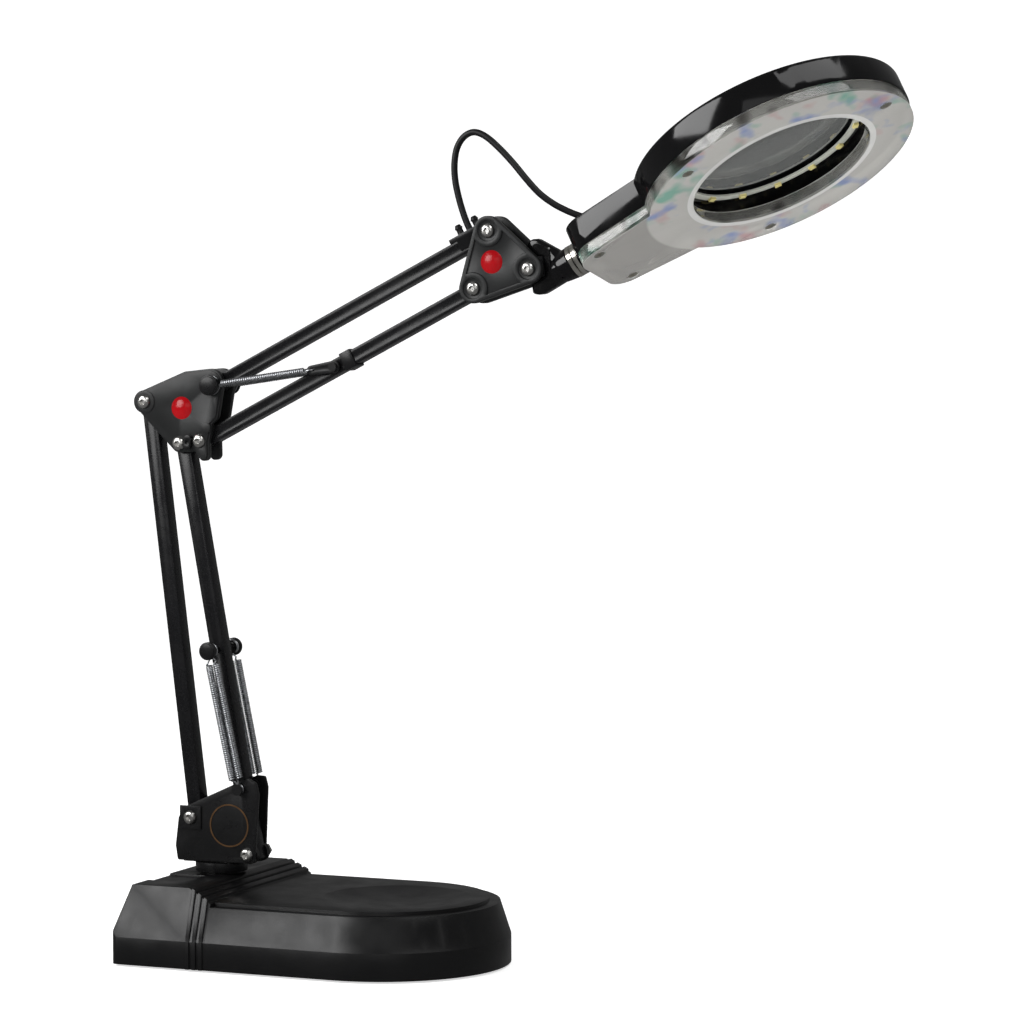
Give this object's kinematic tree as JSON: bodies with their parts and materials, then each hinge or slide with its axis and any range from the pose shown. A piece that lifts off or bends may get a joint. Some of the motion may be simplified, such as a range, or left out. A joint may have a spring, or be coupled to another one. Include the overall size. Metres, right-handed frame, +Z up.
{
  "type": "ring magnifier lamp",
  "caption": "Ring magnifier lamp on a spring balanced double parallel arm with a weighted base, a parts dish and a tilting, turning head.",
  "frame": {"origin": "on the table plane under the swivel axis, at the foot below the arm", "axes": "+Z up along the swivel axis, +X towards the round end of the base and the lamp head, +Y across the arm"},
  "size_m": [0.4409, 0.1547, 0.4896],
  "materials": {
    "black_abs": "satin black moulded ABS",
    "ballast_steel": "bare steel plate",
    "rubber": "matte black rubber",
    "zinc_steel": "zinc plated steel",
    "white_nylon": "natural nylon",
    "black_paint": "satin black powder coat on steel",
    "badge_foil": "printed foil ring",
    "nickel": "bright nickel",
    "bar_paint": "satin black paint on steel tube",
    "black_gloss": "gloss black ABS",
    "spring_steel": "zinc plated spring wire",
    "grey_plate": "dark grey glass filled nylon",
    "red_gloss": "gloss red plastic",
    "collar_metal": "polished steel",
    "lens_glass": "polished clear glass",
    "led_board_white": "white solder mask",
    "led_yellow": "yellow phosphor in clear gel",
    "clear_acrylic": "clear polished acrylic",
    "grey_window": "translucent smoke grey",
    "green_board": "green solder mask",
    "lead_jacket": "matte black PVC"
  },
  "bodies": {
    "base": {"base_shell": "black_abs", "base_bottom_plate": "black_abs", "ballast_weight": "ballast_steel", "rubber_feet": "rubber", "base_screws": "zinc_steel", "power_inlet": "black_abs", "swivel_bush": "white_nylon"},
    "bracket": {"swivel_spindle": "zinc_steel", "spindle_nut": "zinc_steel", "bracket_near_plate": "black_paint", "bracket_far_plate": "black_paint", "bracket_foot": "black_abs", "bracket_badge": "badge_foil", "bracket_spacers": "black_abs", "bracket_screws": "nickel", "bracket_spring_pin": "black_paint"},
    "lower_rear_arm": {"lower_rear_bar": "bar_paint"},
    "lower_front_arm": {"lower_front_bar": "bar_paint", "lower_spring_pin": "black_gloss"},
    "lower_spring_foot": {"lower_springs": "spring_steel"},
    "lower_spring_top": {"lower_spring_hooks": "spring_steel"},
    "elbow": {"elbow_near_plate": "grey_plate", "elbow_far_plate": "grey_plate", "elbow_spacer": "black_abs", "elbow_caps": "red_gloss", "elbow_screws": "nickel", "elbow_spring_pin": "black_gloss", "elbow_clip": "black_abs"},
    "upper_bottom_arm": {"upper_bottom_bar": "bar_paint", "bar_sleeve": "black_abs", "spring_anchor_pin": "zinc_steel"},
    "upper_spring_foot": {"spring_links": "black_paint", "upper_springs": "spring_steel"},
    "upper_spring_top": {"upper_spring_hooks": "spring_steel"},
    "head_bracket": {"head_bracket_near_plate": "grey_plate", "head_bracket_far_plate": "grey_plate", "head_bracket_spacer": "black_abs", "head_bracket_caps": "red_gloss", "head_bracket_screws": "nickel", "tilt_screws": "nickel"},
    "upper_top_arm": {"upper_top_bar": "bar_paint", "cable_clip": "black_abs", "head_lead": "lead_jacket"},
    "knuckle": {"tilt_block": "black_paint"},
    "neck": {"neck_fork": "black_gloss", "yaw_bolt": "zinc_steel", "neck_nut": "zinc_steel", "head_collar": "collar_metal"},
    "head": {"head_shell": "black_gloss", "lens": "lens_glass", "lens_retaining_ring": "black_gloss", "led_board": "led_board_white", "led_chips": "led_yellow", "clear_cover": "clear_acrylic", "light_window": "grey_window", "cover_screws": "nickel", "driver_board": "green_board", "lead_grommet": "rubber"}
  },
  "joints": [
    {"name": "base_swivel", "type": "hinge", "parent": "base", "child": "bracket", "pos_m": [0, 0, 0.0452], "axis": [0, 0, 1], "range_deg": [-170, 170]},
    {"name": "lower_arm_tilt", "type": "hinge", "parent": "bracket", "child": "lower_rear_arm", "pos_m": [-0.0138, 0, 0.0753], "axis": [0, 1, 0], "range_deg": [-5, 35]},
    {"name": "lower_front_pivot", "type": "hinge", "parent": "bracket", "child": "lower_front_arm", "pos_m": [0.0208, 0, 0.0558], "axis": [0, 1, 0], "range_deg": [-5.6, 37.4]},
    {"name": "lower_spring_swing", "type": "hinge", "parent": "bracket", "child": "lower_spring_foot", "pos_m": [0.0166, 0, 0.0925], "axis": [0, 1, 0], "range_deg": [-8.4, 54]},
    {"name": "lower_spring_stretch", "type": "slide", "parent": "lower_spring_foot", "child": "lower_spring_top", "axis": [-0.2108, 0, 0.9775], "range_m": [-0.0012, 0.0068], "deforming": ["lower_springs"]},
    {"name": "elbow_pivot", "type": "hinge", "parent": "lower_rear_arm", "child": "elbow", "pos_m": [-0.0423, 0, 0.3068], "axis": [0, 1, 0], "range_deg": [-51.5, 8]},
    {"name": "upper_arm_tilt", "type": "hinge", "parent": "elbow", "child": "upper_bottom_arm", "pos_m": [-0.0083, 0, 0.2854], "axis": [0, 1, 0], "range_deg": [-18, 30]},
    {"name": "upper_spring_swing", "type": "hinge", "parent": "upper_bottom_arm", "child": "upper_spring_foot", "pos_m": [0.07331, 0, 0.32712], "axis": [0, 1, 0], "range_deg": [-2.6, 4]},
    {"name": "upper_spring_stretch", "type": "slide", "parent": "upper_spring_foot", "child": "upper_spring_top", "axis": [-0.9894, 0, -0.145], "range_m": [-0.0098, 0.0162], "deforming": ["upper_springs"]},
    {"name": "head_bracket_pivot", "type": "hinge", "parent": "upper_bottom_arm", "child": "head_bracket", "pos_m": [0.157, 0, 0.3699], "axis": [0, 1, 0], "range_deg": [-32, 20]},
    {"name": "upper_top_pivot", "type": "hinge", "parent": "head_bracket", "child": "upper_top_arm", "pos_m": [0.1655, 0, 0.4009], "axis": [0, 1, 0], "range_deg": [-20, 32]},
    {"name": "head_tilt", "type": "hinge", "parent": "head_bracket", "child": "knuckle", "pos_m": [0.189, 0, 0.3804], "axis": [0, 1, 0], "range_deg": [-20, 35]},
    {"name": "head_yaw", "type": "hinge", "parent": "knuckle", "child": "neck", "pos_m": [0.1922, 0, 0.3809], "axis": [-0.1271, 0, 0.9919], "range_deg": [-15, 15]},
    {"name": "head_roll", "type": "hinge", "parent": "neck", "child": "head", "pos_m": [0.2173, 0, 0.387], "axis": [0.8744, 0.0796, 0.4787], "range_deg": [-40, 40], "deforming": ["head_lead"]}
  ],
  "couplings": [
    {"joint": "lower_front_pivot", "follows": "lower_arm_tilt", "ratio": 1.0416},
    {"joint": "elbow_pivot", "follows": "lower_arm_tilt", "ratio": -1.4348},
    {"joint": "lower_spring_swing", "follows": "lower_arm_tilt", "ratio": 1.49},
    {"joint": "lower_spring_stretch", "follows": "lower_arm_tilt", "m_per_rad": 0.0105},
    {"joint": "head_bracket_pivot", "follows": "upper_arm_tilt", "ratio": -1},
    {"joint": "upper_top_pivot", "follows": "upper_arm_tilt", "ratio": 1},
    {"joint": "upper_spring_swing", "follows": "upper_arm_tilt", "ratio": 0.116},
    {"joint": "upper_spring_stretch", "follows": "upper_arm_tilt", "m_per_rad": 0.0295}
  ]
}
